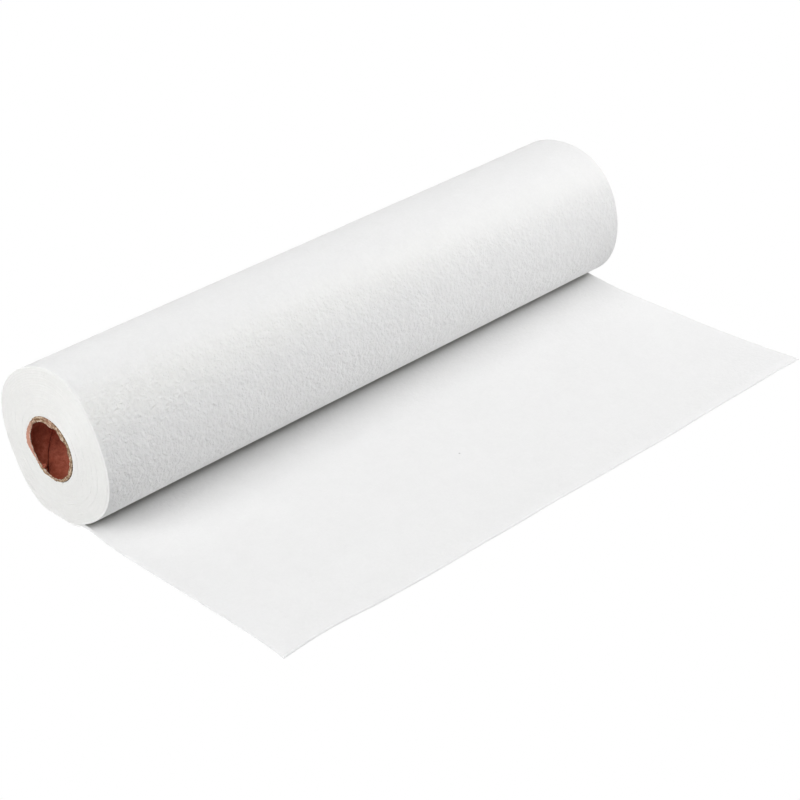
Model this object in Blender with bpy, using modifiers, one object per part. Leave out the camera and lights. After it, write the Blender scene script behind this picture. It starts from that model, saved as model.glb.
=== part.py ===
"""Roll of white craft felt, wound on a cardboard tube, with its free end laid out in front.

Metres, +Z up. +X runs along the roll, +Y points to its back, and the origin lies on the floor
under the middle of the roll. The free end of the felt reaches towards -Y.

The felt is one strip. Its last turn passes under the roll and goes on as the free end, so the
wound body and the free end are one closed solid, with a bore for the tube.
"""

import math

import bmesh
import bpy

COLLECTION_NAME = "felt_roll"

# The strip of felt
FELT_WIDTH = 0.450
FELT_THICKNESS = 0.0014

# The cardboard tube, and where its axis lies in the settled roll
TUBE_RADIUS = 0.0217
TUBE_WALL = 0.0019
TUBE_AXIS_Y = 0.0020
TUBE_AXIS_Z = 0.0479
TUBE_CLEARANCE = 0.0003

# The inner turns stand out of the near end by this much, and lie as deep in the far end
TELESCOPE = 0.0016

# The two ends of the roll: the round form's radius and the height of its axis, and how far the
# free end reaches in front of that axis
ROLL_ENDS = {
    "near": {"radius": 0.0507, "axis_z": 0.0501, "free_length": 0.1995},
    "far": {"radius": 0.0488, "axis_z": 0.0484, "free_length": 0.2037},
}

# The settled roll isn't quite round. Each wave adds its height at every crest and takes it away
# between them, and has a crest at the given angle in degrees, from the back over the top.
ROLL_WAVES = (
    {"end": "near", "crests": 2, "height": 0.0009, "crest_angle": 92.0},
    {"end": "near", "crests": 4, "height": 0.0014, "crest_angle": 19.0},
    {"end": "far", "crests": 2, "height": 0.0002, "crest_angle": 75.0},
    {"end": "far", "crests": 3, "height": 0.0004, "crest_angle": 40.0},
    {"end": "far", "crests": 4, "height": 0.0009, "crest_angle": 36.0},
)

# Soft felt meets the floor in a curve of this height, not in a corner
LANDING = 0.0008

# Where the free end parts from the roll, in degrees from the back over the top, and how far in
# front of that place it still hangs clear of the floor
CREASE_ANGLE = 247.0
PEEL_REACH = 0.040

# Soft rises of the free end off the floor: their middle, half their extent, and their height
RISES = (
    {"x": -0.193, "y": -0.206, "reach_x": 0.044, "reach_y": 0.050, "height": 0.00245},
    {"x": 0.235, "y": -0.212, "reach_x": 0.150, "reach_y": 0.090, "height": 0.0016},
)

# The front corners of the free end are drawn out sideways: how far at the tip, and how far behind
# it about a third of that is left
CORNER_FLARES = {
    "near": {"out": 0.0034, "reach": 0.019},
    "far": {"out": 0.0032, "reach": 0.024},
}

# Resolution
ROLL_STEPS = 60
STATION_STEPS = 20
FREE_END_STEPS = 14
BORE_STEPS = 48

SHARP_EDGE_ANGLE = 35.0

MATERIALS = {
    "felt": {"colour": (0.86, 0.86, 0.85, 1.0), "roughness": 0.95},
    "cardboard": {"colour": (0.36, 0.24, 0.15, 1.0), "roughness": 0.85},
}


def blend(start, stop, share):
    """The value this share of the way from start to stop."""
    return start + (stop - start) * share


def eased_shares(steps):
    """Shares from 0 to 1 that lie closer together at both ends."""
    return [(1.0 - math.cos(math.pi * step / steps)) / 2.0 for step in range(steps + 1)]


def landed(height):
    """Height above the floor of felt whose round form would lie at the given height."""
    if height <= -LANDING:
        return 0.0
    if height >= LANDING:
        return height
    return (height + LANDING) ** 2 / (4.0 * LANDING)


def hump(distance):
    """A soft rise: 1 in the middle, 0 from a distance of 1 outwards."""
    return (1.0 - distance ** 2) ** 2 if distance < 1.0 else 0.0


def roll_point(end_name, angle, lowered=0.0):
    """Y and Z of the roll's outside at one of its ends, at an angle in radians."""
    end = ROLL_ENDS[end_name]
    radius = end["radius"]
    for wave in ROLL_WAVES:
        if wave["end"] == end_name:
            phase = angle - math.radians(wave["crest_angle"])
            radius += wave["height"] * math.cos(wave["crests"] * phase)
    return radius * math.cos(angle), landed(end["axis_z"] + radius * math.sin(angle) - lowered)


def roll_points(end_name):
    """One full turn of the roll's outside, from the crease up the front, over and under.

    The turn ends in the strip's underside, one thickness below the place where it began.
    """
    crease = math.radians(CREASE_ANGLE)
    points = []
    for step in range(ROLL_STEPS + 1):
        angle = crease - math.tau * step / ROLL_STEPS
        passes_under = angle < -math.pi / 2.0
        points.append(roll_point(end_name, angle, FELT_THICKNESS if passes_under else 0.0))
    return points


def flare(end_name, behind_front):
    """How far the free end's side stands out, at a distance behind its front edge."""
    corner = CORNER_FLARES[end_name]
    return corner["out"] * math.exp(-behind_front / corner["reach"])


def free_end_height(x, y, crease_y, crease_height):
    """Height of the free end's underside above the floor."""
    height = crease_height * hump((crease_y - y) / PEEL_REACH)
    for rise in RISES:
        across = (x - rise["x"]) / rise["reach_x"]
        along = (y - rise["y"]) / rise["reach_y"]
        height += rise["height"] * hump(math.hypot(across, along))
    return height


def felt_section(share):
    """The felt's outline at a share of its width from the near end, as points in space."""
    x = blend(-FELT_WIDTH / 2.0, FELT_WIDTH / 2.0, share)
    free_length = blend(ROLL_ENDS["near"]["free_length"], ROLL_ENDS["far"]["free_length"], share)

    roll = []
    for (near_y, near_z), (far_y, far_z) in zip(roll_points("near"), roll_points("far")):
        roll.append((x, blend(near_y, far_y, share), blend(near_z, far_z, share)))

    crease_y, crease_height = roll[-1][1:]
    underside = []
    top = []
    for along in eased_shares(FREE_END_STEPS)[1:]:
        y = blend(crease_y, -free_length, along)
        flared_x = x + blend(-flare("near", y + free_length), flare("far", y + free_length), share)
        z = free_end_height(flared_x, y, crease_y, crease_height)
        underside.append((flared_x, y, z))
        top.append((flared_x, y, z + FELT_THICKNESS))
    return roll + underside + top[::-1]


def bore_section(side):
    """The bore's rim at the near (-1) or far (+1) end of the felt."""
    x = side * FELT_WIDTH / 2.0 - TELESCOPE
    radius = TUBE_RADIUS + TUBE_CLEARANCE
    points = []
    for step in range(BORE_STEPS):
        angle = math.tau * step / BORE_STEPS
        y = TUBE_AXIS_Y + radius * math.cos(angle)
        z = TUBE_AXIS_Z + radius * math.sin(angle)
        points.append((x, y, z))
    return points


def bridge(bm, first, second):
    """Faces between two closed loops that have the same number of vertices."""
    for index in range(len(first)):
        after = (index + 1) % len(first)
        bm.faces.new((first[index], first[after], second[after], second[index]))


def close_end(bm, *loops):
    """The felt's end face, between its outline and its bore."""
    edges = []
    for loop in loops:
        for index, vertex in enumerate(loop):
            edges.append(bm.edges.get((vertex, loop[index - 1])))
    bmesh.ops.triangle_fill(bm, edges=edges, use_beauty=True)


def make_material(name):
    material = bpy.data.materials.new(name)
    material.use_nodes = True
    shader = material.node_tree.nodes["Principled BSDF"]
    shader.inputs["Base Color"].default_value = MATERIALS[name]["colour"]
    shader.inputs["Roughness"].default_value = MATERIALS[name]["roughness"]
    shader.inputs["Metallic"].default_value = 0.0
    material.diffuse_color = MATERIALS[name]["colour"]
    return material


def add_object(name, mesh, material_name, collection):
    mesh.materials.append(make_material(material_name))
    mesh.shade_smooth()
    mesh.set_sharp_from_angle(angle=math.radians(SHARP_EDGE_ANGLE))
    piece = bpy.data.objects.new(name, mesh)
    collection.objects.link(piece)
    return piece


def make_felt(collection):
    """The wound body with its flat spot, and the free end in front of it."""
    bm = bmesh.new()
    outlines = []
    for share in eased_shares(STATION_STEPS):
        outlines.append([bm.verts.new(point) for point in felt_section(share)])
    for first, second in zip(outlines, outlines[1:]):
        bridge(bm, first, second)
    bores = [[bm.verts.new(point) for point in bore_section(side)] for side in (-1, 1)]
    bridge(bm, *bores)
    close_end(bm, outlines[0], bores[0])
    close_end(bm, outlines[-1], bores[1])
    bmesh.ops.recalc_face_normals(bm, faces=bm.faces)
    mesh = bpy.data.meshes.new("felt")
    bm.to_mesh(mesh)
    bm.free()
    return add_object("felt", mesh, "felt", collection)


def make_core_tube(collection):
    """The tube: an open cylinder, given its wall inwards, laid along X."""
    bm = bmesh.new()
    bmesh.ops.create_cone(
        bm,
        cap_ends=False,
        segments=BORE_STEPS,
        radius1=TUBE_RADIUS,
        radius2=TUBE_RADIUS,
        depth=FELT_WIDTH,
    )
    mesh = bpy.data.meshes.new("core_tube")
    bm.to_mesh(mesh)
    bm.free()
    tube = add_object("core_tube", mesh, "cardboard", collection)
    tube.location = (-TELESCOPE, TUBE_AXIS_Y, TUBE_AXIS_Z)
    tube.rotation_euler = (0.0, math.pi / 2.0, 0.0)
    wall = tube.modifiers.new("Wall", "SOLIDIFY")
    wall.thickness = TUBE_WALL
    wall.offset = -1.0
    wall.use_even_offset = True
    return tube


def clear_scene():
    for old in list(bpy.data.objects):
        bpy.data.objects.remove(old, do_unlink=True)


def main():
    clear_scene()
    collection = bpy.data.collections.new(COLLECTION_NAME)
    bpy.context.scene.collection.children.link(collection)
    make_felt(collection)
    make_core_tube(collection)


main()
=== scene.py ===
"""The looks of a roll of white craft felt, wound on a cardboard tube, with its free end laid out.

Metres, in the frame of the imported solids: +X runs along the roll, +Y points to its back, +Z is
up, and the origin lies on the floor under the middle of the roll. Angles around the roll go from
its back (0 degrees) over its top (90) to its front (180).

The felt is one strip. It starts at the cut front edge of the free end, runs back under the roll
and then winds inwards, turn by turn, until it ends on the tube.
"""

import math

import bmesh
import bpy
import numpy as np
from mathutils import Matrix, Vector, noise


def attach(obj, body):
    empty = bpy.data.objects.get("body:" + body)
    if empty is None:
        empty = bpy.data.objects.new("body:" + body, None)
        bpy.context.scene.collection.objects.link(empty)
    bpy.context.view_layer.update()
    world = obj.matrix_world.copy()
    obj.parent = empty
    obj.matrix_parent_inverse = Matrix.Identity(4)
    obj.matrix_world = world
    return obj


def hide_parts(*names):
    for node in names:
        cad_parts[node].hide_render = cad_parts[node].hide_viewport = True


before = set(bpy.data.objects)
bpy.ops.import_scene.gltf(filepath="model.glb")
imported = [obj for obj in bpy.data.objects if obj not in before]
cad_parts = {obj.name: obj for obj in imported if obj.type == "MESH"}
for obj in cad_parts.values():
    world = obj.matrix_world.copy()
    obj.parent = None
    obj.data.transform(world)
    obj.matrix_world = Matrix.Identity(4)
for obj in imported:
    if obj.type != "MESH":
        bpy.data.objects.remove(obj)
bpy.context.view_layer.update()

# ---------------- sizes shared with the solids

FELT_WIDTH = 0.450
FELT_THICKNESS = 0.0014

TUBE_RADIUS = 0.0217
TUBE_WALL = 0.0019
TUBE_AXIS_Y = 0.0020
TUBE_AXIS_Z = 0.0479

# The inner turns stand out of the near end (-X) by this much, and lie as deep in the far end
TELESCOPE = 0.0016

# The two ends of the roll: the round form's radius and the height of its axis, and how far the
# free end reaches in front of that axis
ROLL_ENDS = {
    "near": {"radius": 0.0507, "axis_z": 0.0501},
    "far": {"radius": 0.0488, "axis_z": 0.0484},
}
FREE_LENGTH = {"near": 0.1995, "far": 0.2037}

# Waves of the settled roll's outline: the number of crests, the height, and the angle of one crest
ROLL_WAVES = {
    "near": ((2, 0.0009, 92.0), (4, 0.0014, 19.0)),
    "far": ((2, 0.0002, 75.0), (3, 0.0004, 40.0), (4, 0.0009, 36.0)),
}

# Soft felt meets the floor in a curve of this height
LANDING = 0.0008

# Where the free end parts from the roll, and how far in front of that it still hangs clear. It
# leaves in the roll's own direction, so a sharp cleft opens between them: its slope there, and
# how soon it bends down
CREASE_ANGLE = 247.0
PEEL_REACH = 0.040
CLEFT_SLOPE = 0.43
CLEFT_REACH = 0.0036

# Soft rises of the free end off the floor: their middle, half their extent, and their height
RISES = (
    {"x": -0.193, "y": -0.206, "reach_x": 0.044, "reach_y": 0.050, "height": 0.00245},
    {"x": 0.235, "y": -0.212, "reach_x": 0.150, "reach_y": 0.090, "height": 0.0016},
)

# The front corners of the free end are drawn out sideways: how far at the tip, and how far behind
# it about a third of that is left
CORNER_FLARES = {
    "near": {"out": 0.0034, "reach": 0.019},
    "far": {"out": 0.0032, "reach": 0.024},
}

# ---------------- sizes of the wound strip

TURNS = 20

# Each turn starts on top of the strip's next one: the share of a turn in which it climbs there,
# which is the way from the crease to the roll's lowest line
LAP = (270.0 - CREASE_ANGLE) / 360.0

# Over this many turns, at the outside and at the tube, such steps grow into an even spiral. It
# lags so far behind that it has the steps' mean.
SETTLING_TURNS = 5.0
SPIRAL_LAG = 0.5 + LAP / 2.0

# The gap between two turns, as a share of their distance
TURN_GAP = 0.002

# How unevenly the turns line up at the ends of the roll: waves along the strip, each with its
# height, its length in turns, and its phase at the crease
TURN_SHIFTS = ((0.00006, 2.7, 0.4), (0.00003, 0.83, 2.9))

# The soft rounding of the cut edges: on the roll, on the free end's upper side, and where the
# floor or other turns press on them
EDGE_ROUNDING = 0.00032
FREE_ROUNDING = 0.00120
PRESSED_ROUNDING = 0.00004

# The profile of a rounded edge, in roundings: how far inside the edge each of its points lies, and
# how deep it sinks there
EDGE_PROFILE = (
    {"inset": 0.0, "sink": 1.0},
    {"inset": 0.2, "sink": 0.6},
    {"inset": 0.45, "sink": 0.3},
    {"inset": 0.7, "sink": 0.1},
    {"inset": 1.0, "sink": 0.0},
)

# Behind that profile of its front edge, the free end's even columns start at this inset
EVEN_INSET = 4.0

# Slow waves of the free end's sides, each with its height, length and phase, and how far inside
# the sides they fade; and waves of its front edge, which lies this far behind the solid's one
SIDE_WAVES = ((0.00010, 0.130, 0.7), (0.00003, 0.047, 2.1))
SIDE_REACH = 0.020
FRONT_WAVES = ((0.00022, 0.160, 2.1), (0.00019, 0.070, 2.2))
FRONT_TRIM = 0.00035

# Soft unevenness of the felt's outside: extent of a swell along and across the strip, its height,
# and its layer in the noise
RELIEF = (
    {"along": 0.055, "across": 0.080, "height": 0.00022, "layer": 0.0},
    {"along": 0.016, "across": 0.021, "height": 0.00007, "layer": 7.3},
)

# The outermost turn has it from the start to the end, in turns, and grows and fades it within them
RELIEF_TURNS = {"start": 0.10, "growth": 0.15, "end": 0.985, "fade": 0.10}

# How rough the felt's face is, which also sets how much painted shade its mottling gives: at
# the roll's front and on its top, on the free end and on cut edges, and on the free end close to
# the roll, up to a reach in front of the crease
FULL_NAP = {"near": 0.97, "far": 0.66}
TOP_NAP = {"near": 0.32, "far": 0.14}
FREE_NAP = 0.13
CUT_NAP = 0.30
SHADED_NAP = {"nap": 0.45, "reach": 0.050}

# Where the roughness of the front starts to turn into that of the top, and where it is the top's:
# the sine of the angle around the roll
NAP_FADE_START = {"near": 0.78, "far": 0.45}
NAP_FADE_END = {"near": 1.03, "far": 0.78}

# A painted highlight along the band where the felt's front turns into its top: the middle and
# half the extent of that band, in degrees, and how strong it is at both ends
HIGHLIGHT_BAND = {"angle": 134.0, "reach": 27.0, "near": 1.0, "far": 0.35}

# How much painted highlight, in the light rim colour, the free end's cut front edge has (never
# more than 1), and the outermost turn's cut edge at the roll's front
FRONT_RIM_HIGHLIGHT = {"near": 1.5, "far": 0.3}
OUTER_TURN_RIM_HIGHLIGHT = 0.3

# Painted shade deep in the cleft under the roll, where the felt is painted darker: how far in
# front of the crease this fades, and where it comes on under the roll, in turns
CLEFT_SHADE_REACH = 0.0125
CLEFT_SHADE_TURNS = {"start": 0.958, "full": 0.972}

# Where the last turn, which fills the step over the strip's inner end, starts: a share of a turn
LAST_TURN_START = 0.002

# Columns along the strip, in turns: what shows is fine, the hidden turns are coarse
SHOWN_TURNS = 1.3
SHOWN_STEP = 3.0 / 360.0
HIDDEN_STEP = 6.0 / 360.0
HIDDEN_STEPS = round((TURNS - SHOWN_TURNS) / HIDDEN_STEP)

# Columns along the free end, and closer ones in the last share of it, where it meets the crease
FREE_END_STEPS = 96
PEEL_STEPS = 14
PEEL_SHARE = 0.075

# Rows across the strip: their distance where they show, how far inside both sides those close to
# the edges lie, and the insets of the only rows that the hidden turns have
SHOWN_ROW = 0.006
EDGE_ROWS = (0.0012, 0.0024)
HIDDEN_ROWS = (0.004, 0.012, 0.160)

# ---------------- sizes of the tube

# The board lies this far inside the felt, and has so many columns around
TUBE_SLACK = 0.00015
TUBE_COLUMNS = 300

# The lining paper, the share of its thickness that it fills in front of the board, and how far
# behind its mouths it has painted shade
LINER_THICKNESS = 0.0003
LINER_FILL = 0.9
LINER_SHADE_REACH = 0.023

# The lining is wound in a spiral: its pitch, the angle at which its seam meets the near mouth, and
# the paper's step there with the angle over which it fades
SEAM_PITCH = 0.083
SEAM_ANGLE = -77.0
SEAM_STEP = 0.00035
SEAM_LAP = 60.0

# The seam's width in degrees, and how much wider it gapes at the mouth, with the depth at which
# about a third of that is left
SEAM_WIDTH = 1.6
SEAM_GAPE = 3.5
SEAM_OPENING = 0.0015

# Columns around the lining, first those of the seam in widths of it; its rows, and rows close to
# its mouths in shares of TORN_DEPTH
SEAM_COLUMNS = (-1.0, -0.5, -0.15, 0.15, 0.5, 1.0)
LINER_COLUMNS = 90
LINER_ROW = 0.004
LINER_MOUTH_ROWS = (0.3, 0.65)

# The tube's crushed and torn mouth, in metres at an angle in degrees: the bore that the felt
# leaves there, the ring's outer and inner radius, how far the ring stands proud, and how pink
# its paper is. It grows into the round tube over MOUTH_DEPTH, and its torn plies hang over
# the liner as far in as TORN_DEPTH.
MOUTH_DEPTH = 0.012
TORN_DEPTH = 0.0045
MOUTH_COLUMNS = ("angle", "bore", "outer", "inner", "proud", "pink")
MOUTH = (
    (  0, 0.02160, 0.02270, 0.01895, 0.00055, 1.0),
    (  8, 0.02160, 0.02235, 0.01895, 0.00050, 1.0),
    ( 16, 0.02150, 0.02185, 0.01880, 0.00040, 0.9),
    ( 26, 0.02130, 0.02140, 0.01865, 0.00025, 0.7),
    ( 37, 0.02115, 0.02118, 0.01875, 0.00020, 0.3),
    ( 46, 0.02110, 0.02120, 0.01855, 0.00025, 0.1),
    ( 56, 0.02110, 0.02125, 0.01790, 0.00030, 0.0),
    ( 70, 0.02110, 0.02118, 0.01725, 0.00035, 0.0),
    ( 80, 0.02110, 0.02112, 0.01670, 0.00030, 0.1),
    ( 89, 0.02112, 0.02112, 0.01625, 0.00030, 0.3),
    (100, 0.02115, 0.02112, 0.01610, 0.00035, 0.3),
    (107, 0.02118, 0.02100, 0.01690, 0.00030, 0.1),
    (113, 0.02120, 0.02080, 0.01775, 0.00020, 0.1),
    (119, 0.02120, 0.02078, 0.01785, 0.00020, 0.1),
    (127, 0.02120, 0.02070, 0.01685, 0.00025, 0.1),
    (134, 0.02120, 0.02068, 0.01640, 0.00025, 0.0),
    (138, 0.02120, 0.02070, 0.01655, 0.00020, 0.0),
    (142, 0.02118, 0.02075, 0.01760, 0.00015, 0.0),
    (146, 0.02115, 0.02065, 0.01860, 0.00015, 0.0),
    (165, 0.02112, 0.02040, 0.01785, 0.00010, 0.0),
    (200, 0.02110, 0.02030, 0.01785, 0.00010, 0.0),
    (229, 0.02100, 0.02045, 0.01840, 0.00010, 0.0),
    (249, 0.02090, 0.02065, 0.01895, 0.00010, 0.0),
    (262, 0.02080, 0.02062, 0.01930, 0.00010, 0.0),
    (273, 0.02070, 0.02055, 0.01915, 0.00010, 0.2),
    (283, 0.02070, 0.02060, 0.01885, 0.00015, 0.1),
    (290, 0.02085, 0.02095, 0.01850, 0.00030, 0.1),
    (295, 0.02090, 0.02120, 0.01830, 0.00040, 0.0),
    (299, 0.02085, 0.02070, 0.01905, 0.00020, 0.0),
    (304, 0.02080, 0.02100, 0.01850, 0.00030, 0.1),
    (309, 0.02050, 0.02045, 0.01870, 0.00015, 0.4),
    (315, 0.02035, 0.02022, 0.01890, 0.00010, 0.6),
    (323, 0.02035, 0.02022, 0.01880, 0.00010, 0.9),
    (332, 0.02115, 0.02100, 0.01870, 0.00025, 1.0),
    (340, 0.02160, 0.02185, 0.01880, 0.00045, 1.0),
    (347, 0.02160, 0.02265, 0.01890, 0.00055, 1.0),
    (355, 0.02160, 0.02280, 0.01895, 0.00060, 1.0),
)

# The far mouth is cut like the near one, seen in a mirror and turned by this angle
FAR_MOUTH_TURN = 217.0

# Points of the ring's face, from its outer to its inner edge; and the ring's form: where along
# the mouth's depth its neck has a row, and how much of its full height its two edges have
RING_SHARES = (0.97, 0.86, 0.74, 0.62, 0.50, 0.38, 0.26, 0.14, 0.03)
RING_FORM = {"neck": 0.4, "outer_edge": 0.45, "inner_edge": 0.4}

# How rough its torn plies are: on its face, at its inner and its outer edge, and the grain's size;
# and how far apart its layers and its two mouths lie in the noise
RING_ROUGHNESS = {"face": 0.00030, "inner": 0.00070, "outer": 0.00042, "grain": 0.0011}
RING_NOISE = {"layer": 5.3, "side": 2.1}

# A torn flap of paper that has curled up beside the seam, in the near mouth: the angle and radius
# of its middle, the size of its first turn and how much of that it loses, how many turns it has,
# its thickness, how deep into the tube it goes, the grain of its torn edge, and how much of the
# lining's painted shade at the mouths it has
CURL = {
    "angle": 300.5,
    "radius": 0.0177,
    "size": 0.0013,
    "tightening": 0.45,
    "turns": 1.2,
    "thickness": 0.00020,
    "depth": 0.0016,
    "grain": 6.0,
    "painted_shade": 0.3,
}
CURL_STEPS = 26

# ---------------- colours, camera and light

# The felt: its face, its cut edges, a painted highlight along a band, painted highlights on cut
# rims, and painted shade deep in the cleft
FELT_COLOUR = (0.833, 0.833, 0.833, 1.0)
FELT_EDGE_COLOUR = (0.833, 0.832, 0.817, 1.0)
FELT_HIGHLIGHT_COLOUR = (0.872, 0.872, 0.860, 1.0)
FELT_RIM_HIGHLIGHT_COLOUR = (0.940, 0.940, 0.940, 1.0)
CLEFT_SHADE_COLOUR = (0.34, 0.34, 0.32, 1.0)

# A dark speck on the free end
SPECK_PLACE = (-0.0105, -0.1225, 0.0014)
SPECK_COLOUR = (0.50, 0.50, 0.49, 1.0)

# The tube: kraft board with dark and pale plies, its pale torn inner edge with a painted
# highlight, the pink paper on it, and the lining with its dark spots, painted shade at its mouths
# and a painted shadow along its seam
KRAFT_COLOUR = (0.42, 0.295, 0.19, 1.0)
KRAFT_DARK_COLOUR = (0.16, 0.080, 0.038, 1.0)
KRAFT_PALE_COLOUR = (0.66, 0.54, 0.42, 1.0)
TORN_FIBRE_HIGHLIGHT_COLOUR = (0.80, 0.70, 0.60, 1.0)
PINK_COLOUR = (0.56, 0.28, 0.205, 1.0)
LINER_COLOUR = (0.70, 0.220, 0.142, 1.0)
LINER_DARK_COLOUR = (0.41, 0.101, 0.057, 1.0)
LINER_SHADE_COLOUR = (0.25, 0.042, 0.015, 1.0)
SEAM_SHADOW_COLOUR = (0.12, 0.035, 0.022, 1.0)

# The noises of the materials, first the felt's from fine to coarse: their size in repeats per
# metre, their layers, how much the finer layers count, and how far they are pulled about
NOISE_COLUMNS = ("Scale", "Detail", "Roughness", "Distortion")
NOISES = {
    "fibre": (700.0, 2.0, 0.55, 0.6),
    "tuft": (340.0, 2.0, 0.55, 0.4),
    "clump": (120.0, 2.0, 0.5, 0.3),
    "cloud": (40.0, 2.0, 0.5, 0.0),
    "board": (1100.0, 3.0, 0.6, 0.0),
    "ply": (1.0, 3.0, 0.6, 0.6),
    "tone": (300.0, 3.0, 0.6, 0.0),
    "paper": (1300.0, 2.0, 0.5, 0.0),
}

# The board's plies are drawn out along the ring: their repeats per metre around it, and across it
PLIES = {"around": 420.0, "across": 3.0}

# How the materials turn a number between the first two limits into one between the other two
RANGE_COLUMNS = ("From Min", "From Max", "To Min", "To Max")
RANGES = {
    "felt_mottle": (0.2, 1.2, -0.95, 0.05),
    "felt_mottle_and_nap_shade": (0.0, 1.0, 0.030, 0.105),
    "felt_fibre": (0.3, 0.7, 0.986, 1.008),
    "felt_cloud": (0.3, 0.7, 0.994, 1.004),
    "speck_by_distance": (0.00027, 0.0009, 1.0, 0.0),
    "board_dark": (0.49, 0.57, 0.0, 0.95),
    "board_pale": (0.47, 0.38, 0.0, 0.9),
    "board_pink": (0.3, 0.5, 0.6, 1.0),
    "board_torn": (0.42, 0.55, 0.9, 0.1),
    "board_torn_by_place": (0.03, 0.20, 1.0, 0.0),
    "liner_dark": (0.40, 0.65, 0.0, 0.8),
    "liner_mouth_shade": (0.3, 0.7, 0.6, 0.9),
}

# The part of each noise in the mottling and in the relief, and the relief's height
FELT_MOTTLE_PARTS = {"tuft": 0.7, "clump": 0.7}
FELT_RELIEF_PARTS = {"fibre": 0.30, "tuft": 0.66, "clump": 0.18}
LINER_MOTTLE_PARTS = {"tone": 0.6, "paper": 0.4}
FELT_RELIEF_HEIGHT = 0.0019
PAPER_RELIEF_HEIGHT = 0.0004

# The camera, in metres, degrees and millimetres
CAMERA_PLACE = (-0.89161, -0.97042, 0.75631)
CAMERA_AZIMUTH = -44.405
CAMERA_ELEVATION = 30.352
CAMERA_ROLL = -1.112
CAMERA_LENS = 104.423
CAMERA_SENSOR = 36.0
CAMERA_CLIP_START = 0.01

# Square soft boxes, all aimed at the origin from the same distance: each one's name, azimuth and
# elevation, and power in watts
SOFT_BOX_SIZE = 1.1
SOFT_BOX_DISTANCE = 2.0
SOFT_BOXES = (
    ("overhead", 0.0, 90.0, 5.9),
    ("right_low", 45.0, 12.0, 12.6),
    ("right", 45.0, 32.0, 9.9),
    ("right_high", 45.0, 52.0, 10.8),
    ("far_end", 90.0, 12.0, 9.3),
    ("left_low", 270.0, 12.0, 11.3),
    ("left", 270.0, 32.0, 15.5),
    ("left_high", 270.0, 52.0, 6.2),
    ("back_right", 135.0, 32.0, 6.8),
    ("back", 180.0, 12.0, 11.6),
    ("back_left", 225.0, 12.0, 2.9),
)

# The floor that lights the object: how bright it glows, its colour and its radius
FLOOR_GLOW = 0.425
FLOOR_COLOUR = (0.08, 0.08, 0.08, 1.0)
FLOOR_LIGHT_RADIUS = 1.8

# The white floor and wall that the camera sees instead
BACKDROP_GLOW = 1.0
BACKDROP_COLOUR = (0.0, 0.0, 0.0, 1.0)
BACKDROP_RADIUS = 6.9
BACKDROP_HEIGHT = 6.0
BACKDROP_STEPS = 64

# Both floors lie this far below the object
FLOOR_DROP = 0.00005


# ---------------- helpers

def blend(start, stop, share):
    """The value this share of the way from start to stop."""
    return start + (stop - start) * share


def along_roll(ends, share):
    """The value at a share of the width, of something that has one at each end of the roll."""
    return blend(ends["near"], ends["far"], share)


def smooth(share):
    """A soft step: 0 up to a share of 0, 1 from a share of 1."""
    share = np.clip(share, 0.0, 1.0)
    return share * share * (3.0 - 2.0 * share)


def hump(distance):
    """A soft rise: 1 in the middle, 0 from a distance of 1 outwards."""
    return np.where(distance < 1.0, (1.0 - np.minimum(distance, 1.0) ** 2) ** 2, 0.0)


def waves(place, table):
    """The sum of a table's sine waves at a place."""
    total = 0.0
    for height, length, phase in table:
        total = total + height * np.sin(math.tau * place / length + phase)
    return total


def new_object(name, mesh, material):
    """A smoothly shaded object in the scene."""
    mesh.materials.append(material)
    mesh.shade_smooth()
    piece = bpy.data.objects.new(name, mesh)
    bpy.context.scene.collection.objects.link(piece)
    return piece


def closed_mesh(name, points, faces, values):
    """A mesh whose faces all look outwards, with numbers for each point that a material reads."""
    mesh = bpy.data.meshes.new(name)
    mesh.from_pydata([tuple(point) for point in points], [], faces)
    bm = bmesh.new()
    bm.from_mesh(mesh)
    bmesh.ops.recalc_face_normals(bm, faces=bm.faces)
    bm.to_mesh(mesh)
    bm.free()
    for value_name, numbers in values.items():
        attribute = mesh.attributes.new(value_name, "FLOAT", "POINT")
        attribute.data.foreach_set("value", numbers)
    return mesh


def loop_faces(first, second):
    """Quads between two closed loops with the same number of points."""
    count = len(first)
    faces = []
    for index in range(count):
        after = (index + 1) % count
        faces.append((first[index], first[after], second[after], second[index]))
    return faces


# ---------------- the strip of felt

def landed(height):
    """Height above the floor of felt whose round form would lie at the given height."""
    curve = (np.clip(height, -LANDING, LANDING) + LANDING) ** 2 / (4.0 * LANDING)
    return np.where(height >= LANDING, height, curve)


def roll_side(end_name, angle, lowered):
    """Y and Z of the roll's outside at one of its ends."""
    end = ROLL_ENDS[end_name]
    radius = end["radius"]
    for crests, height, crest_angle in ROLL_WAVES[end_name]:
        phase = angle - math.radians(crest_angle)
        radius = radius + height * np.cos(crests * phase)
    return radius * np.cos(angle), landed(end["axis_z"] + radius * np.sin(angle) - lowered)


def turns_outside(wound):
    """How many turns lie around the strip's outer side, where it has wound so many turns."""
    whole = np.floor(wound)
    stepped = whole - 1.0 + smooth((wound - whole) / LAP)
    spiral = wound - SPIRAL_LAG
    evenness = smooth((wound - 1.0) / SETTLING_TURNS) * smooth((TURNS - wound) / SETTLING_TURNS)
    return blend(stepped, spiral, evenness)


def mouth_sizes(degrees, side):
    """Sizes of the near (-1) or far (+1) mouth at an angle, straight between the table's rows."""
    seen = degrees if side < 0 else FAR_MOUTH_TURN - degrees
    table = dict(zip(MOUTH_COLUMNS, zip(*MOUTH)))
    angles = table.pop("angle")
    sizes = {}
    for name, column in table.items():
        sizes[name] = float(np.interp(seen % 360.0, angles, column, period=360.0))
    return sizes


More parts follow.
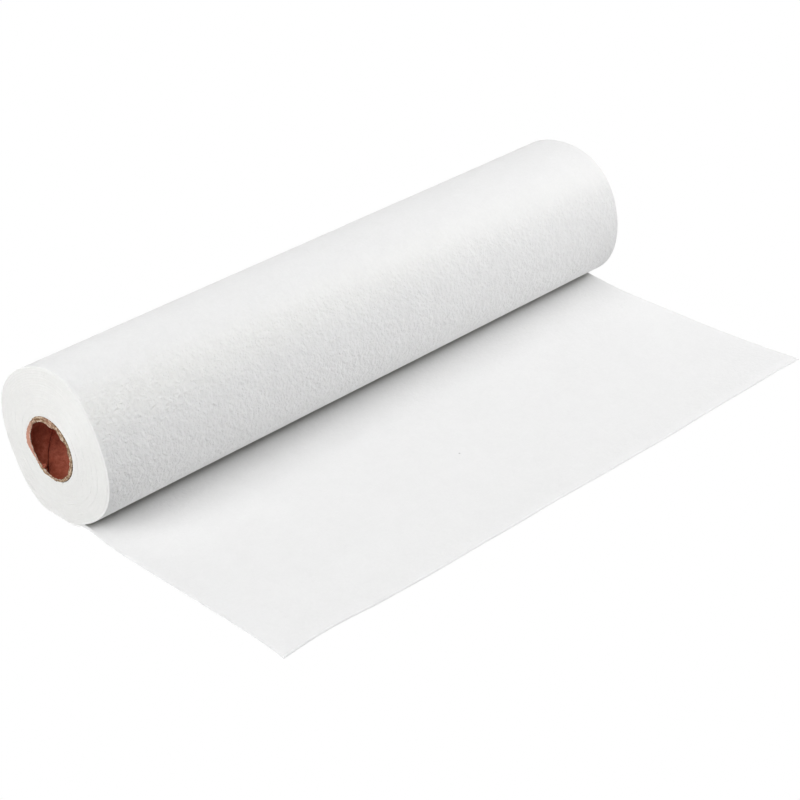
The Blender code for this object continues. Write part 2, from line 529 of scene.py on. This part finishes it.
def core_radius(angle, x):
    """Radius that the felt leaves for the tube, at an angle in radians and places along it."""
    degrees = math.degrees(angle)
    radius = np.full_like(x, TUBE_RADIUS)
    for side in (-1, 1):
        depth = FELT_WIDTH / 2.0 - side * x
        dent = TUBE_RADIUS - mouth_sizes(degrees, side)["bore"]
        radius = radius - dent * smooth(1.0 - depth / MOUTH_DEPTH)
    return radius


def share_across(x):
    """How far across the strip a place lies: 0 at its near side, 1 at its far one."""
    return x / FELT_WIDTH + 0.5


def wound_angle(wound):
    """The angle around the roll, in radians, at which the strip has wound so many turns."""
    return math.radians(CREASE_ANGLE) + math.tau * (wound - 1.0)


def wound_place(wound, outside, share):
    """Points at a share of the width, with so many turns wound and so many around them."""
    angle = wound_angle(wound)
    lowered = np.maximum(-outside, 0.0) * FELT_THICKNESS
    near_y, near_z = roll_side("near", angle, lowered)
    far_y, far_z = roll_side("far", angle, lowered)
    core = core_radius(angle, (share - 0.5) * FELT_WIDTH)
    inwards = np.clip(outside / TURNS, 0.0, 1.0)
    y = blend(blend(near_y, far_y, share), TUBE_AXIS_Y + core * math.cos(angle), inwards)
    z = blend(blend(near_z, far_z, share), TUBE_AXIS_Z + core * math.sin(angle), inwards)
    return -TELESCOPE * inwards, y, z


def flare(end_name, behind_front):
    """How far the free end's side stands out, at distances behind its front edge."""
    corner = CORNER_FLARES[end_name]
    return corner["out"] * np.exp(-behind_front / corner["reach"])


def free_end_height(x, y, crease_y, crease_height):
    """Height of the free end's underside above the floor."""
    before = crease_y - y
    height = crease_height * hump(before / PEEL_REACH)
    height = height + CLEFT_SLOPE * before * np.exp(-before / CLEFT_REACH)
    for rise in RISES:
        across = (x - rise["x"]) / rise["reach_x"]
        along = (y - rise["y"]) / rise["reach_y"]
        height = height + rise["height"] * hump(np.hypot(across, along))
    return height


def relief_height(along, across):
    """The unevenness of the felt, from 0 up, at distances along and across the strip."""
    along, across = np.broadcast_arrays(along, across)
    total = np.zeros(along.shape)
    for swell in RELIEF:
        for index in np.ndindex(total.shape):
            place = (
                along[index] / swell["along"],
                across[index] / swell["across"],
                swell["layer"],
            )
            total[index] += swell["height"] * (0.5 + 0.5 * noise.noise(Vector(place)))
    return total


def strip_rows(hidden):
    """Rows across the strip.

    Each has its place, or else its side and a point of the edge's profile there.
    """
    marks = [inset - FELT_WIDTH / 2.0 for inset in HIDDEN_ROWS]
    marks += [-mark for mark in marks[::-1]]
    places = list(marks)
    if not hidden:
        for inset in EDGE_ROWS:
            places += [inset - FELT_WIDTH / 2.0, FELT_WIDTH / 2.0 - inset]
        for start, stop in zip(marks, marks[1:]):
            steps = round((stop - start) / SHOWN_ROW)
            places += [blend(start, stop, step / steps) for step in range(1, steps)]
    rows = [{"side": -1, **point} for point in EDGE_PROFILE]
    rows += [{"place": place} for place in sorted(places)]
    rows += [{"side": 1, **point} for point in EDGE_PROFILE[::-1]]
    return rows


def row_values(rows, rounding):
    """Each row's place across the strip, and how deep it lies in the rounding of a cut edge."""
    x = []
    sink = []
    for row in rows:
        if "place" in row:
            x.append(row["place"])
            sink.append(0.0)
        else:
            x.append(row["side"] * (FELT_WIDTH / 2.0 - row["inset"] * rounding))
            sink.append(row["sink"] * rounding)
    return np.array(x), np.array(sink)


def strip_columns():
    """Columns along the strip, from its cut front edge to its end on the tube.

    Those of the front edge have their inset and sink in roundings. Those of the free end have the
    share of the way to the crease. The others have how many turns are wound there.
    """
    columns = [*EDGE_PROFILE, {"inset": EVEN_INSET, "sink": 0.0}]
    even = np.linspace(0.0, 1.0 - PEEL_SHARE, FREE_END_STEPS)
    close = np.linspace(1.0 - PEEL_SHARE, 1.0, PEEL_STEPS)
    for share in (*even[1:], *close[1:-1]):
        columns.append({"share": float(share), "sink": 0.0})
    for step in range(round(SHOWN_TURNS / SHOWN_STEP) + 1):
        columns.append({"wound": step * SHOWN_STEP, "shown": True})
    hidden = [SHOWN_TURNS + step * HIDDEN_STEP for step in range(1, HIDDEN_STEPS + 1)]
    hidden.append(TURNS - 1.0 + LAST_TURN_START)
    columns += [{"wound": wound, "shown": False} for wound in sorted(hidden)]
    return columns


def free_column(column, rows):
    """Underside and top of one column of the free end."""
    sides = []
    for rounding, thickness in ((PRESSED_ROUNDING, 0.0), (FREE_ROUNDING, FELT_THICKNESS)):
        x, sink = row_values(rows, rounding)
        share = share_across(x)
        _, crease_y, crease_height = wound_place(0.0, np.full_like(x, -1.0), share)
        free_length = along_roll(FREE_LENGTH, share)
        front_y = waves(x, FRONT_WAVES) + FRONT_TRIM - free_length
        if "inset" in column:
            y = front_y + column["inset"] * rounding
        else:
            y = blend(front_y + EVEN_INSET * rounding, crease_y, column["share"])
        behind = y - front_y
        at_side = smooth((np.abs(x) - FELT_WIDTH / 2.0) / SIDE_REACH + 1.0)
        x = x + blend(-flare("near", behind), flare("far", behind), share)
        x = x + np.sign(x) * at_side * waves(y, SIDE_WAVES)
        height = free_end_height(x, y, crease_y, crease_height)
        height = height + smooth((crease_y - y) / PEEL_REACH) * relief_height(y, x)
        sink = np.maximum(sink, column["sink"] * rounding)
        inwards = -sink if thickness > 0.0 else sink
        sides.append(np.stack([x, y, height + thickness + inwards], axis=1))
    return sides


def wound_column(column, rows):
    """Outer and inner side of one column of the wound part."""
    wound = column["wound"]
    angle = wound_angle(wound)
    turn_thickness = (ROLL_ENDS["near"]["radius"] - TUBE_RADIUS) / TURNS
    landing = smooth(wound / LAP)
    outer_rounding = PRESSED_ROUNDING
    if wound < 1.0:
        outer_rounding = blend(PRESSED_ROUNDING, EDGE_ROUNDING, landing)
    inner_rounding = blend(FREE_ROUNDING, PRESSED_ROUNDING, landing)
    shift = waves(wound, TURN_SHIFTS) * smooth(wound)
    outside_inner = turns_outside(wound + 1.0) - TURN_GAP
    if wound > TURNS - 1.0 + LAST_TURN_START / 2.0:
        # The last turn's inner side lies on the tube
        outside_inner = float(TURNS)
    sides = []
    for rounding, outside, inward in (
        (outer_rounding, turns_outside(wound), 1.0),
        (inner_rounding, outside_inner, -1.0),
    ):
        x, sink = row_values(rows, rounding)
        outside = outside + inward * sink / turn_thickness
        telescoped, y, z = wound_place(wound, outside, share_across(x))
        sides.append(np.stack([x + telescoped + shift, y, z], axis=1))
    if column["shown"]:
        grown = smooth((wound - RELIEF_TURNS["start"]) / RELIEF_TURNS["growth"])
        left = smooth((RELIEF_TURNS["end"] - wound) / RELIEF_TURNS["fade"])
        x = row_values(rows, outer_rounding)[0]
        along = wound * math.tau * ROLL_ENDS["near"]["radius"]
        raised = grown * left * relief_height(along, x)
        sides[0][:, 1] += raised * math.cos(angle)
        sides[0][:, 2] += raised * math.sin(angle)
    return sides


def before_crease(column):
    """Roughly how far in front of the crease a column of the free end lies."""
    return FREE_LENGTH["near"] * (1.0 - column.get("share", 0.0))


def highlight_band_share(column):
    """How much of the painted highlight band one column has."""
    if "wound" not in column:
        return 0.0
    degrees = math.degrees(wound_angle(column["wound"])) % 360.0
    return float(hump(abs(degrees - HIGHLIGHT_BAND["angle"]) / HIGHLIGHT_BAND["reach"]))


def outer_turn_rim_highlight(column):
    """Painted highlight on the cut edge in one column of the outermost turn: most at its front."""
    frontwards = -math.cos(wound_angle(column["wound"]))
    return OUTER_TURN_RIM_HIGHLIGHT * float(smooth(frontwards + 0.5))


def face_nap(column, rows):
    """How rough one column's face is, and so how much painted shade it gets: at the roll's front
    and back more than on its top.
    """
    share = share_across(row_values(rows, 0.0)[0])
    if "wound" not in column:
        close = smooth(1.0 - before_crease(column) / SHADED_NAP["reach"])
        return np.full_like(share, blend(FREE_NAP, SHADED_NAP["nap"], close))
    upwards = math.sin(wound_angle(column["wound"]))
    start = along_roll(NAP_FADE_START, share)
    end = along_roll(NAP_FADE_END, share)
    full = along_roll(FULL_NAP, share)
    top = along_roll(TOP_NAP, share)
    return blend(full, top, smooth((upwards - start) / (end - start)))


def cleft_shade(column):
    """How much painted shade a column's outer and inner side get, deep in the cleft under the
    roll.
    """
    if "wound" not in column:
        return 0.0, smooth(1.0 - before_crease(column) / CLEFT_SHADE_REACH)
    wound = column["wound"]
    start = CLEFT_SHADE_TURNS["start"]
    full = CLEFT_SHADE_TURNS["full"]
    outer = smooth((wound - start) / (full - start)) if wound <= 1.0 else 0.0
    return outer, smooth(1.0 - wound / LAP)


def surface_values(column, rows):
    """What the felt's material reads from the points of one column, its outer side first.

    nap is how rough the face is and how much painted shade its mottling gives, cut is 1 on the
    roll's cut edges, shade is how much painted shade a point gets deep in the cleft, the rim value
    is how much painted highlight a cut edge has, and the band value is the painted highlight along
    the band where the felt's front turns into its top.
    """
    is_wound = "wound" in column
    at_front = not is_wound and column["sink"] > 0.0
    on_edge = np.array([float(at_front or row.get("sink", 0.0) > 0.0) for row in rows])
    cut = on_edge if is_wound else np.zeros_like(on_edge)
    share = share_across(row_values(rows, 0.0)[0])
    # Painted highlights on the free end's cut front edge, and on the outermost turn's cut edge
    rim_highlight = np.clip(at_front * along_roll(FRONT_RIM_HIGHLIGHT, share), 0.0, 1.0)
    if is_wound and column["wound"] < 1.0:
        rim_highlight = outer_turn_rim_highlight(column) * on_edge
    # Painted highlight along the band where the roll's front turns into its top
    highlight_band = highlight_band_share(column) * along_roll(HIGHLIGHT_BAND, share)
    outer_nap = blend(face_nap(column, rows), CUT_NAP, on_edge)
    inner_nap = blend(FREE_NAP, CUT_NAP, on_edge)
    outer_shade, inner_shade = cleft_shade(column)
    sides = {
        "nap": (outer_nap, inner_nap),
        "cut": (cut, cut),
        "shade": (outer_shade * (1.0 - on_edge), inner_shade * (1.0 - on_edge)),
        "rim_highlight": (rim_highlight, rim_highlight),
        "highlight_band": (highlight_band, highlight_band),
    }
    return {name: (*outer, *inner[::-1]) for name, (outer, inner) in sides.items()}


def strip_faces(loops, fine, coarse):
    """The strip's faces: between its columns, also where a fine one meets a coarse one, and at
    its two ends.

    Each loop says whether its column is fine, and has the column's points in order.
    """
    kept = [fine.index(row) for row in coarse]
    last = len(fine) * 2 - 1
    marks = kept + [last - index for index in kept[::-1]]
    faces = []
    for (first_fine, first), (second_fine, second) in zip(loops, loops[1:]):
        if first_fine == second_fine:
            faces.extend(loop_faces(first, second))
            continue
        for index, mark in enumerate(marks):
            after = (index + 1) % len(marks)
            between = [mark, marks[after]]
            if marks[after] > mark:
                between = list(range(mark, marks[after] + 1))
            faces.append([first[place] for place in between] + [second[after], second[index]])
    for _, loop in (loops[0], loops[-1]):
        half = len(loop) // 2
        outer, inner = loop[:half], loop[half:][::-1]
        for index in range(half - 1):
            faces.append((outer[index], outer[index + 1], inner[index + 1], inner[index]))
    return faces


def make_felt_strip(material):
    """The whole strip as one closed piece: free end, shown turn, and the hidden turns."""
    fine = strip_rows(hidden=False)
    coarse = strip_rows(hidden=True)
    points = []
    loops = []
    values = {"nap": [], "cut": [], "shade": [], "rim_highlight": [], "highlight_band": []}
    underside_rim = set()
    for column in strip_columns():
        is_fine = column.get("shown", True)
        rows = fine if is_fine else coarse
        make_column = wound_column if "wound" in column else free_column
        outer, inner = make_column(column, rows)
        start = len(points)
        points.extend(outer)
        points.extend(inner[::-1])
        loops.append((is_fine, list(range(start, len(points)))))
        if column.get("inset") == 0.0:
            underside_rim.update(range(start, start + len(rows)))
        elif "wound" not in column:
            underside_rim.update((start, start + len(rows) - 1))
        for name, numbers in surface_values(column, rows).items():
            values[name].extend(numbers)

    mesh = closed_mesh("felt_strip", points, strip_faces(loops, fine, coarse), values)
    for edge in mesh.edges:
        if underside_rim.issuperset(edge.vertices):
            edge.use_edge_sharp = True
    strip = new_object("felt_strip", mesh, material)
    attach(strip, "root")
    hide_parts("felt")


# ---------------- the cardboard tube

def liner_radius(sizes, depth):
    """Inner radius of the lined tube, at a depth behind its mouth."""
    start = sizes["inner"] + LINER_THICKNESS
    return float(blend(start, TUBE_RADIUS - TUBE_WALL, smooth(depth / TORN_DEPTH)))


def tube_point(depth, radius, degrees, side):
    """A point of the tube, at a depth behind its near (-1) or far (+1) end."""
    angle = math.radians(degrees)
    x = side * (FELT_WIDTH / 2.0 - depth) - TELESCOPE
    return x, TUBE_AXIS_Y + radius * math.cos(angle), TUBE_AXIS_Z + radius * math.sin(angle)


def mouth_line(degrees, side):
    """The board's section at one mouth, from its outside to its inside.

    Each point has its depth, its radius, and its place across the ring, 1 at the outside.
    """
    sizes = mouth_sizes(degrees, side)
    turn = math.radians(degrees)
    grain = TUBE_RADIUS / RING_ROUGHNESS["grain"]

    def ragged(layer):
        height = RING_NOISE["layer"] * layer + RING_NOISE["side"] * side
        return noise.noise(Vector((grain * math.cos(turn), grain * math.sin(turn), height)))

    outside = TUBE_RADIUS - TUBE_SLACK
    outer = sizes["outer"] + RING_ROUGHNESS["outer"] * ragged(1.0)
    inner = sizes["inner"] + RING_ROUGHNESS["inner"] * ragged(2.0)
    neck = min(outer, sizes["bore"] - TUBE_SLACK)
    proud = sizes["proud"]
    line = [
        (MOUTH_DEPTH, outside, 1.0),
        (RING_FORM["neck"] * MOUTH_DEPTH, blend(neck, outside, RING_FORM["neck"]), 1.0),
        (0.0, neck, 1.0),
        (-RING_FORM["outer_edge"] * proud, outer, 1.0),
    ]
    for share in RING_SHARES:
        rough = RING_ROUGHNESS["face"] * ragged(3.0 + share)
        depth = rough - proud * blend(RING_FORM["inner_edge"], 1.0, share)
        line.append((depth, blend(inner, outer, share), share))
    folded = 2.0 * LINER_THICKNESS
    halfway = TORN_DEPTH / 2.0
    inside = TUBE_RADIUS - TUBE_WALL + LINER_THICKNESS
    line += [
        (LINER_THICKNESS, inner, 0.0),
        (folded, sizes["inner"] + folded, 0.0),
        (halfway, liner_radius(sizes, halfway) + LINER_THICKNESS, 0.0),
        (TORN_DEPTH, inside, 0.0),
        (MOUTH_DEPTH, inside, 0.0),
    ]
    return line, sizes["pink"]


def make_tube_board(material):
    """The tube's wall between its two cut and torn mouths.

    Its material reads from each point how pink the ring is there, and the point's places across
    the ring and around it.
    """
    points = []
    loops = []
    values = {"pink": [], "across": [], "around": []}
    for column in range(TUBE_COLUMNS):
        degrees = 360.0 * column / TUBE_COLUMNS
        start = len(points)
        for side in (-1, 1):
            line, pink = mouth_line(degrees, side)
            for depth, radius, across in line[::-side]:
                points.append(tube_point(depth, radius, degrees, side))
                values["pink"].append(pink)
                values["across"].append(across)
                values["around"].append(math.radians(degrees) * TUBE_RADIUS)
        loops.append(list(range(start, len(points))))
    faces = []
    for first, second in zip(loops, loops[1:] + loops[:1]):
        faces.extend(loop_faces(first, second))
    mesh = closed_mesh("tube_board", points, faces, values)
    board = new_object("tube_board", mesh, material)
    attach(board, "root")
    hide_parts("core_tube")


def make_tube_liner(material):
    """The paper that lines the tube, wound in a spiral whose edge shows as a long seam.

    Its material reads from each point whether it lies on the seam, and how much painted shade it
    has near a mouth.
    """
    mouth_depths = [2.0 * LINER_THICKNESS]
    mouth_depths += [share * TORN_DEPTH for share in LINER_MOUTH_ROWS]
    middle = FELT_WIDTH - 2.0 * TORN_DEPTH
    steps = round(middle / LINER_ROW)
    depths = mouth_depths + [TORN_DEPTH + middle * step / steps for step in range(steps + 1)]
    depths += [FELT_WIDTH - depth for depth in mouth_depths[::-1]]
    plain_steps = range(1, LINER_COLUMNS)
    points = {"inner": [], "outer": []}
    seam = []
    mouth_shade = []
    for depth in depths:
        width = SEAM_WIDTH * (1.0 + SEAM_GAPE * math.exp(-depth / SEAM_OPENING))
        offsets = [width * share for share in SEAM_COLUMNS]
        plain = 360.0 - 2.0 * width
        offsets += [width + plain * step / LINER_COLUMNS for step in plain_steps]
        side = -1 if depth < FELT_WIDTH / 2.0 else 1
        behind = depth if side < 0 else FELT_WIDTH - depth
        for offset in offsets:
            degrees = SEAM_ANGLE + 360.0 * depth / SEAM_PITCH + offset
            radius = liner_radius(mouth_sizes(degrees, side), behind)
            lap = SEAM_STEP * float(smooth(1.0 - offset / SEAM_LAP)) if offset > 0.0 else 0.0
            outside = radius + LINER_FILL * LINER_THICKNESS
            points["inner"].append(tube_point(behind, radius - lap, degrees, side))
            points["outer"].append(tube_point(behind, outside, degrees, side))
            seam.append(1.0 if abs(offset) <= 0.5 * width else 0.0)
            # Painted shade near the mouths
            mouth_shade.append(float(smooth(1.0 - behind / LINER_SHADE_REACH)))

    count = len(SEAM_COLUMNS) + len(plain_steps)
    chains = []
    for start in (0, len(seam)):
        firsts = [start + row * count for row in range(len(depths))]
        chains.append([list(range(first, first + count)) for first in firsts])
    faces = []
    for chain in chains:
        for first, second in zip(chain, chain[1:]):
            faces.extend(loop_faces(first, second))
    for end in (0, -1):
        faces.extend(loop_faces(chains[0][end], chains[1][end]))
    values = {"seam": seam + [0.0] * len(seam), "mouth_shade": mouth_shade * 2}
    mesh = closed_mesh("tube_liner", points["inner"] + points["outer"], faces, values)
    liner = new_object("tube_liner", mesh, material)
    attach(liner, "root")
    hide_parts("core_tube")


def make_torn_curl(material):
    """The curled flap, a ribbon wound around a line along the tube."""
    middle = math.radians(CURL["angle"])
    middle_y = TUBE_AXIS_Y + CURL["radius"] * math.cos(middle)
    middle_z = TUBE_AXIS_Z + CURL["radius"] * math.sin(middle)
    deep = CURL["depth"]
    points = []
    for step in range(CURL_STEPS + 1):
        share = step / CURL_STEPS
        turn = middle - math.tau * CURL["turns"] * share
        size = CURL["size"] * (1.0 - CURL["tightening"] * share)
        torn = CURL["thickness"] * noise.noise(Vector((CURL["grain"] * share, 0.3, 0.7)))
        for half, depth in ((0.5, torn), (-0.5, torn), (-0.5, deep), (0.5, deep)):
            radius = size + half * CURL["thickness"]
            x = depth - FELT_WIDTH / 2.0 - TELESCOPE
            y = middle_y + radius * math.cos(turn)
            z = middle_z + radius * math.sin(turn)
            points.append((x, y, z))
    loops = [list(range(start, start + 4)) for start in range(0, len(points), 4)]
    faces = [loops[0], loops[-1]]
    for first, second in zip(loops, loops[1:]):
        faces.extend(loop_faces(first, second))
    # The curl takes a part of the lining's painted shade at the mouth
    values = {"seam": [0.0] * len(points), "mouth_shade": [CURL["painted_shade"]] * len(points)}
    mesh = closed_mesh("torn_curl", points, faces, values)
    for edge in mesh.edges:
        edge.use_edge_sharp = True
    curl = new_object("torn_curl", mesh, material)
    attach(curl, "root")
    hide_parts("core_tube")


# ---------------- materials

class Nodes:
    """Adds nodes to a new material and links them."""

    def __init__(self, name):
        self.material = bpy.data.materials.new(name)
        self.material.use_nodes = True
        self.tree = self.material.node_tree
        self.shader = self.tree.nodes["Principled BSDF"]

    def add(self, kind, settings=None, **inputs):
        """A node with its settings and its inputs, each a number, a colour or another's output."""
        node = self.tree.nodes.new(kind)
        for name, value in (settings or {}).items():
            setattr(node, name, value)
        for name, value in inputs.items():
            self.set(node, name, value)
        return node

    def set(self, node, name, value):
        """Sets or links the input with this name or number."""
        socket = node.inputs[int(name)] if name.isdigit() else node.inputs[name]
        if isinstance(value, bpy.types.NodeSocket):
            self.tree.links.new(value, socket)
        else:
            socket.default_value = value

    def place(self):
        """The place in metres."""
        return self.add("ShaderNodeTexCoord").outputs["Object"]

    def attribute(self, name):
        """A number that the mesh has for each vertex."""
        return self.add("ShaderNodeAttribute", {"attribute_name": name}).outputs["Fac"]

    def noise(self, name, place):
        """One of the NOISES."""
        inputs = dict(zip(NOISE_COLUMNS, NOISES[name]))
        return self.add("ShaderNodeTexNoise", Vector=place, **inputs).outputs["Fac"]

    def ranged(self, name, value):
        """The value after one of the RANGES."""
        inputs = dict(zip(RANGE_COLUMNS, RANGES[name]))
        return self.add("ShaderNodeMapRange", Value=value, **inputs).outputs[0]

    def maths(self, operation, first, second):
        """The result of one sum or product."""
        node = self.add("ShaderNodeMath", {"operation": operation})
        self.set(node, "0", first)
        self.set(node, "1", second)
        return node.outputs[0]

    def summed(self, noises, parts):
        """The sum of some noises, each times its part."""
        total = 0.0
        for name, part in parts.items():
            total = self.maths("ADD", total, self.maths("MULTIPLY", noises[name], part))
        return total

    def mixed(self, share, first, second, blend_type="MIX"):
        """The first colour where the share is 0, and the second where it is 1."""
        node = self.add("ShaderNodeMix", {"data_type": "RGBA", "blend_type": blend_type})
        self.set(node, "0", share)
        self.set(node, "6", first)
        self.set(node, "7", second)
        return node.outputs[2]

    def finished(self, colour, bump, roughness, specular):
        """The material, whose relief is the given bump node's."""
        self.set(self.shader, "Base Color", colour)
        self.set(self.shader, "Normal", bump.outputs[0])
        self.set(self.shader, "Roughness", roughness)
        self.set(self.shader, "Specular IOR Level", specular)
        return self.material


def felt_material():
    """Matted white fibres: soft swirls and mottling, in colour and in relief, with painted shade
    and painted highlights.
    """
    nodes = Nodes("white_felt")
    place = nodes.place()
    nap = nodes.attribute("nap")
    noises = {name: nodes.noise(name, place) for name in ("fibre", "tuft", "clump", "cloud")}
    # The mottling darkens the felt, more where the nap is rough: real mottling and painted shade,
    # darker at the roll's front than on its top
    mottle = nodes.ranged("felt_mottle", nodes.summed(noises, FELT_MOTTLE_PARTS))
    mottle = nodes.maths("MULTIPLY", mottle, nodes.ranged("felt_mottle_and_nap_shade", nap))
    shade = nodes.maths("ADD", nodes.ranged("felt_fibre", noises["fibre"]), mottle)
    shade = nodes.maths("MULTIPLY", shade, nodes.ranged("felt_cloud", noises["cloud"]))
    shades = nodes.add("ShaderNodeCombineColor", Red=shade, Green=shade, Blue=shade)

    plain = nodes.mixed(nodes.attribute("cut"), FELT_COLOUR, FELT_EDGE_COLOUR)
    # Painted shade deep in the cleft under the roll
    plain = nodes.mixed(nodes.attribute("shade"), plain, CLEFT_SHADE_COLOUR)
    # Painted highlights on cut rims
    plain = nodes.mixed(nodes.attribute("rim_highlight"), plain, FELT_RIM_HIGHLIGHT_COLOUR)
    # Painted highlight along that band
    plain = nodes.mixed(nodes.attribute("highlight_band"), plain, FELT_HIGHLIGHT_COLOUR)
    felt = nodes.mixed(1.0, plain, shades.outputs[0], "MULTIPLY")

    distance = nodes.add("ShaderNodeVectorMath", {"operation": "DISTANCE"})
    nodes.set(distance, "0", place)
    nodes.set(distance, "1", SPECK_PLACE)
    speck = nodes.ranged("speck_by_distance", distance.outputs["Value"])
    colour = nodes.mixed(speck, felt, SPECK_COLOUR)

    height = nodes.summed(noises, FELT_RELIEF_PARTS)
    bump = nodes.add("ShaderNodeBump", Height=height, Strength=nap, Distance=FELT_RELIEF_HEIGHT)
    return nodes.finished(colour, bump, roughness=0.95, specular=0.2)


def board_material():
    """Kraft board: brown and pale plies along the torn ring, pink where paper covers it."""
    nodes = Nodes("kraft_board")
    across = nodes.attribute("across")
    ply_x = nodes.maths("MULTIPLY", nodes.attribute("around"), PLIES["around"])
    ply_y = nodes.maths("MULTIPLY", across, PLIES["across"])
    ply = nodes.noise("ply", nodes.add("ShaderNodeCombineXYZ", X=ply_x, Y=ply_y).outputs[0])
    fibre = nodes.noise("board", nodes.place())
    kraft = nodes.mixed(nodes.ranged("board_dark", ply), KRAFT_COLOUR, KRAFT_DARK_COLOUR)
    kraft = nodes.mixed(nodes.ranged("board_pale", ply), kraft, KRAFT_PALE_COLOUR)
    cover = nodes.ranged("board_pink", fibre)
    pink = nodes.maths("MULTIPLY", nodes.attribute("pink"), cover)
    colour = nodes.mixed(pink, kraft, PINK_COLOUR)
    # The torn inner edge: pale torn fibres, painted lighter still as a highlight
    inner_edge = nodes.ranged("board_torn_by_place", across)
    torn = nodes.maths("MULTIPLY", inner_edge, nodes.ranged("board_torn", ply))
    colour = nodes.mixed(torn, colour, TORN_FIBRE_HIGHLIGHT_COLOUR)
    bump = nodes.add("ShaderNodeBump", Height=fibre, Strength=0.6, Distance=PAPER_RELIEF_HEIGHT)
    return nodes.finished(colour, bump, roughness=0.9, specular=0.2)


def liner_material():
    """Red-brown paper, mottled, with painted shade at its mouths and painted shadow along its
    seam.
    """
    nodes = Nodes("liner_paper")
    place = nodes.place()
    noises = {name: nodes.noise(name, place) for name in LINER_MOTTLE_PARTS}
    mottle = nodes.summed(noises, LINER_MOTTLE_PARTS)
    paper = nodes.mixed(nodes.ranged("liner_dark", mottle), LINER_COLOUR, LINER_DARK_COLOUR)
    # Painted shade near the mouths, made uneven by the paper's tone
    uneven = nodes.ranged("liner_mouth_shade", noises["tone"])
    painted_shade = nodes.maths("MULTIPLY", nodes.attribute("mouth_shade"), uneven)
    paper = nodes.mixed(painted_shade, paper, LINER_SHADE_COLOUR)
    # A painted shadow along the seam, where the paper steps over itself
    colour = nodes.mixed(nodes.attribute("seam"), paper, SEAM_SHADOW_COLOUR)
    bump = nodes.add("ShaderNodeBump", Height=mottle, Strength=0.5, Distance=PAPER_RELIEF_HEIGHT)
    return nodes.finished(colour, bump, roughness=0.8, specular=0.3)


# ---------------- floor, light and camera

def facing(azimuth, elevation):
    """The unit vector that points to an azimuth (0 is the front, 90 is +X) and an elevation."""
    turn = math.radians(azimuth)
    rise = math.radians(elevation)
    level = math.cos(rise)
    return Vector((math.sin(turn) * level, -math.cos(turn) * level, math.sin(rise)))


def white_glow(name, colour, glow):
    """A plain surface that glows white by itself."""
    nodes = Nodes(name)
    nodes.set(nodes.shader, "Base Color", colour)
    nodes.set(nodes.shader, "Roughness", 1.0)
    nodes.set(nodes.shader, "Specular IOR Level", 0.0)
    nodes.set(nodes.shader, "Emission Color", (1.0, 1.0, 1.0, 1.0))
    nodes.set(nodes.shader, "Emission Strength", glow)
    return nodes.material


def circle(radius, height):
    """Points of a level circle around the origin."""
    angles = [math.tau * step / BACKDROP_STEPS for step in range(BACKDROP_STEPS)]
    return [(radius * math.cos(angle), radius * math.sin(angle), height) for angle in angles]


def make_floor():
    """A white floor with a white wall far behind it, and the light that such a floor gives.

    The floor that the camera sees is evenly white. The one that lights the object is darker.
    """
    points = circle(BACKDROP_RADIUS, 0.0) + circle(BACKDROP_RADIUS, BACKDROP_HEIGHT)
    bottom = list(range(BACKDROP_STEPS))
    top = [BACKDROP_STEPS + index for index in bottom]
    seen_mesh = bpy.data.meshes.new("floor")
    seen_mesh.from_pydata(points, [], [bottom] + loop_faces(bottom, top))
    white = white_glow("floor_white", BACKDROP_COLOUR, BACKDROP_GLOW)
    seen = new_object("floor", seen_mesh, white)
    seen.visible_diffuse = False
    seen.visible_glossy = False
    seen.visible_transmission = False
    seen.visible_shadow = False

    light_mesh = bpy.data.meshes.new("floor_light")
    light_mesh.from_pydata(circle(FLOOR_LIGHT_RADIUS, 0.0), [], [bottom])
    glow = white_glow("floor_glow", FLOOR_COLOUR, FLOOR_GLOW)
    light = new_object("floor_light", light_mesh, glow)
    light.visible_camera = False
    for plane in (seen, light):
        plane.location.z = -FLOOR_DROP


def make_light():
    """The soft boxes. The world itself gives no light."""
    world = bpy.data.worlds.new("studio")
    bpy.context.scene.world = world
    world.use_nodes = True
    background = world.node_tree.nodes["Background"]
    background.inputs["Strength"].default_value = 0.0
    for name, azimuth, elevation, power in SOFT_BOXES:
        lamp = bpy.data.lights.new(name, "AREA")
        lamp.shape = "SQUARE"
        lamp.size = SOFT_BOX_SIZE
        lamp.energy = power
        piece = bpy.data.objects.new(name, lamp)
        direction = facing(azimuth, elevation)
        piece.location = direction * SOFT_BOX_DISTANCE
        piece.rotation_euler = direction.to_track_quat("Z", "Y").to_euler()
        bpy.context.scene.collection.objects.link(piece)


def make_camera():
    """The camera, turned to its azimuth and elevation and then rolled."""
    lens = bpy.data.cameras.new("camera")
    lens.sensor_width = CAMERA_SENSOR
    lens.sensor_fit = "HORIZONTAL"
    lens.lens = CAMERA_LENS
    lens.clip_start = CAMERA_CLIP_START
    camera = bpy.data.objects.new("camera", lens)
    back = facing(CAMERA_AZIMUTH, CAMERA_ELEVATION)
    level = Vector((0.0, 0.0, 1.0)).cross(back).normalized()
    upright = back.cross(level)
    roll = math.radians(CAMERA_ROLL)
    right = math.cos(roll) * level + math.sin(roll) * upright
    up = math.cos(roll) * upright - math.sin(roll) * level
    turned = Matrix((right, up, back)).transposed().to_4x4()
    camera.matrix_world = Matrix.Translation(CAMERA_PLACE) @ turned
    bpy.context.scene.collection.objects.link(camera)
    bpy.context.scene.camera = camera


def main():
    bpy.context.scene.view_settings.view_transform = "Standard"
    make_camera()
    make_felt_strip(felt_material())
    make_tube_board(board_material())
    liner = liner_material()
    make_tube_liner(liner)
    make_torn_curl(liner)
    make_floor()
    make_light()


main()
